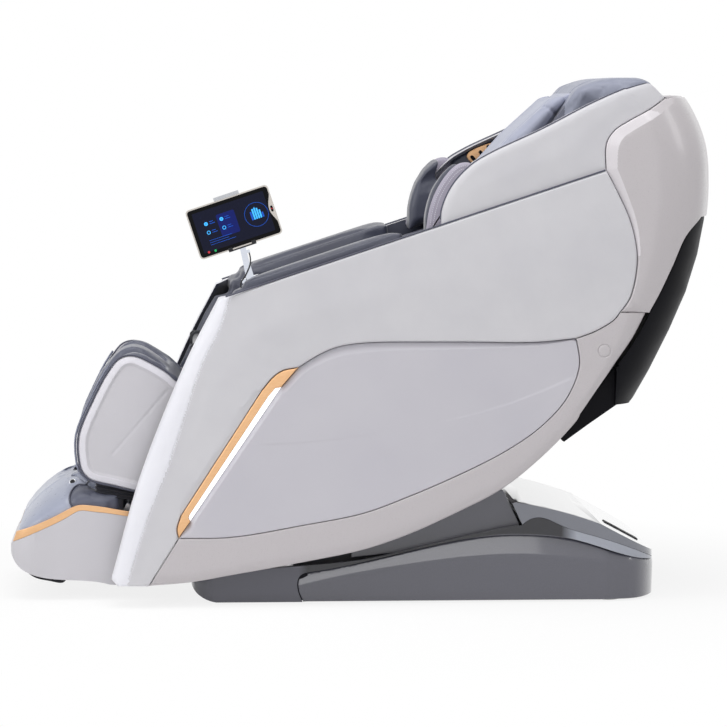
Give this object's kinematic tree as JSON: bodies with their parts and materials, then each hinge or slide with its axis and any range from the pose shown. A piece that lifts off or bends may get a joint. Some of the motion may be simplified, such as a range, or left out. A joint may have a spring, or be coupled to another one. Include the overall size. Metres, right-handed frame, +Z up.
{
  "type": "massage chair",
  "caption": "free-standing reclining massage chair with sliding base, swinging leg rest with sliding foot unit, head pillow and a tablet on a stalk",
  "frame": {"origin": "on the floor under the middle of the chair's length and width", "axes": "+X towards the head end, +Y towards the sitter's right, +Z up; the feet are at -X"},
  "size_m": [1.5962, 0.7984, 1.172],
  "materials": {
    "shell_leather": "fine grained light grey synthetic leather",
    "insert_satin": "satin silver grey moulding",
    "pearl_shell": "glossy pinkish pearl grey",
    "base_gloss": "glossy dark grey",
    "black_cover": "black with a soft sheen",
    "champagne_trim": "champagne metallic lacquer",
    "light_strip": "frosted white diffuser",
    "blue_grey_leather": "slate blue grey upholstery over foam",
    "pillow_leather": "pale blue grey upholstery over soft filling",
    "frame_steel": "black powder coat",
    "zinc_steel": "brushed and plated",
    "black_plastic": "matte black",
    "rubber": "black rubber",
    "screen_glass": "dark display under glass",
    "tablet_silver": "pale champagne anodised"
  },
  "bodies": {
    "base": {"base_frame": "frame_steel", "base_feet": "rubber", "slide_rails": "zinc_steel", "control_box": "black_plastic", "base_shroud": "base_gloss", "base_side_cover_left": "base_gloss", "base_side_cover_right": "base_gloss", "base_deck": "base_gloss", "power_inlet": "black_plastic"},
    "rocker": {"power_rocker": "black_plastic"},
    "wheels": {"transport_wheels": "rubber"},
    "carriage": {"carriage_frame": "frame_steel", "pedestal_cover": "base_gloss"},
    "capsule": {"seat_frame": "frame_steel", "arm_panel_left": "shell_leather", "arm_panel_right": "shell_leather", "side_insert_left": "insert_satin", "side_insert_right": "insert_satin", "side_trims": "champagne_trim", "light_strips": "light_strip", "lower_shell_left": "pearl_shell", "lower_shell_right": "pearl_shell", "shell_caps": "pearl_shell", "wing_left": "shell_leather", "wing_right": "shell_leather", "rear_shell": "pearl_shell", "rear_cover": "black_cover", "arm_pad_left": "blue_grey_leather", "arm_pad_right": "blue_grey_leather", "seat_cushion": "blue_grey_leather", "back_cushion": "blue_grey_leather", "shoulder_pad_left": "blue_grey_leather", "shoulder_pad_right": "blue_grey_leather", "speaker_trims": "champagne_trim", "massage_rails": "zinc_steel", "air_pump": "black_plastic", "tablet_stalk": "black_plastic", "tablet_cable": "rubber"},
    "recline_tube": {"recline_actuator_body": "black_plastic"},
    "recline_rod": {"recline_actuator_rod": "zinc_steel"},
    "leg_tube": {"leg_actuator_body": "black_plastic"},
    "leg_rod": {"leg_actuator_rod": "zinc_steel"},
    "pillow": {"head_pillow": "pillow_leather"},
    "massager": {"massage_carriage": "black_plastic"},
    "heads": {"massage_heads": "rubber"},
    "legrest": {"calf_frame": "frame_steel", "calf_side_left": "blue_grey_leather", "calf_side_right": "blue_grey_leather", "calf_cushion": "blue_grey_leather"},
    "footrest": {"foot_shell": "pearl_shell", "foot_trim": "champagne_trim", "foot_cushion": "blue_grey_leather", "foot_sole_pad": "rubber", "foot_rods": "zinc_steel"},
    "rollers": {"foot_rollers": "rubber"},
    "hub": {"tablet_hub": "black_plastic"},
    "holder": {"tablet_holder": "black_plastic", "tablet": "tablet_silver", "tablet_glass": "screen_glass"},
    "jaw": {"holder_jaw": "black_plastic"}
  },
  "joints": [
    {"name": "power_switch", "type": "hinge", "parent": "base", "child": "rocker", "pos_m": [0.60869, -0.15, 0.12747], "axis": [0, 1, 0], "range_deg": [-10, 10]},
    {"name": "wheel_spin", "type": "hinge", "parent": "base", "child": "wheels", "pos_m": [0.626, 0, 0.027], "axis": [0, 1, 0], "continuous": true},
    {"name": "base_slide", "type": "slide", "parent": "base", "child": "carriage", "axis": [-1, 0, 0], "range_m": [0, 0.15]},
    {"name": "recline", "type": "hinge", "parent": "carriage", "child": "capsule", "pos_m": [0.265, 0, 0.21], "axis": [0, 1, 0], "range_deg": [0, 25]},
    {"name": "recline_tube_turn", "type": "hinge", "parent": "carriage", "child": "recline_tube", "pos_m": [0.055, 0, 0.134], "axis": [0, 1, 0], "range_deg": [0, 25.42]},
    {"name": "recline_rod_stroke", "type": "slide", "parent": "recline_tube", "child": "recline_rod", "axis": [-0.5496, 0, 0.8354], "range_m": [0, 0.09716]},
    {"name": "leg_raise", "type": "hinge", "parent": "capsule", "child": "legrest", "pos_m": [-0.372, 0, 0.56], "axis": [0, 1, 0], "range_deg": [0, 75]},
    {"name": "leg_tube_turn", "type": "hinge", "parent": "capsule", "child": "leg_tube", "pos_m": [-0.14, 0.1, 0.372], "axis": [0, 1, 0], "range_deg": [0, 0.51857]},
    {"name": "leg_rod_stroke", "type": "slide", "parent": "leg_tube", "child": "leg_rod", "axis": [-0.9058, 0, 0.4236], "range_m": [0, 0.10886]},
    {"name": "foot_extend", "type": "slide", "parent": "legrest", "child": "footrest", "axis": [-0.4573, 0, -0.8893], "range_m": [0, 0.12]},
    {"name": "foot_roller_spin", "type": "hinge", "parent": "footrest", "child": "rollers", "pos_m": [-0.65, 0, 0.08], "axis": [0, 1, 0], "continuous": true},
    {"name": "pillow_flip", "type": "hinge", "parent": "capsule", "child": "pillow", "pos_m": [0.476, 0, 1.148], "axis": [0, 1, 0], "range_deg": [0, 95]},
    {"name": "massage_travel", "type": "slide", "parent": "capsule", "child": "massager", "axis": [0.5311, 0, 0.8473], "range_m": [0, 0.4]},
    {"name": "head_spin", "type": "hinge", "parent": "massager", "child": "heads", "pos_m": [0.26621, 0, 0.58678], "axis": [0, 1, 0], "continuous": true},
    {"name": "tablet_swivel", "type": "hinge", "parent": "capsule", "child": "hub", "pos_m": [-0.28165, -0.322, 0.83079], "axis": [-0.3156, 0, 0.9489], "range_deg": [-45, 45]},
    {"name": "tablet_tilt", "type": "hinge", "parent": "hub", "child": "holder", "pos_m": [-0.28639, -0.322, 0.84502], "axis": [0.9489, 0, 0.3156], "range_deg": [-25, 5]},
    {"name": "jaw_slide", "type": "slide", "parent": "holder", "child": "jaw", "axis": [-0.3156, 0, 0.9489], "range_m": [0, 0.02], "stiffness_N_per_m": 60, "springref_m": -0.01}
  ],
  "couplings": [
    {"joint": "recline", "follows": "base_slide", "rad_per_m": 2.9089},
    {"joint": "recline_tube_turn", "follows": "base_slide", "rad_per_m": 2.9345},
    {"joint": "recline_rod_stroke", "follows": "base_slide", "ratio": 0.64443},
    {"joint": "leg_tube_turn", "follows": "leg_raise", "ratio": 0.006248},
    {"joint": "leg_rod_stroke", "follows": "leg_raise", "m_per_rad": 0.082782},
    {"joint": "foot_extend", "follows": "leg_raise", "m_per_rad": 0.09166}
  ]
}
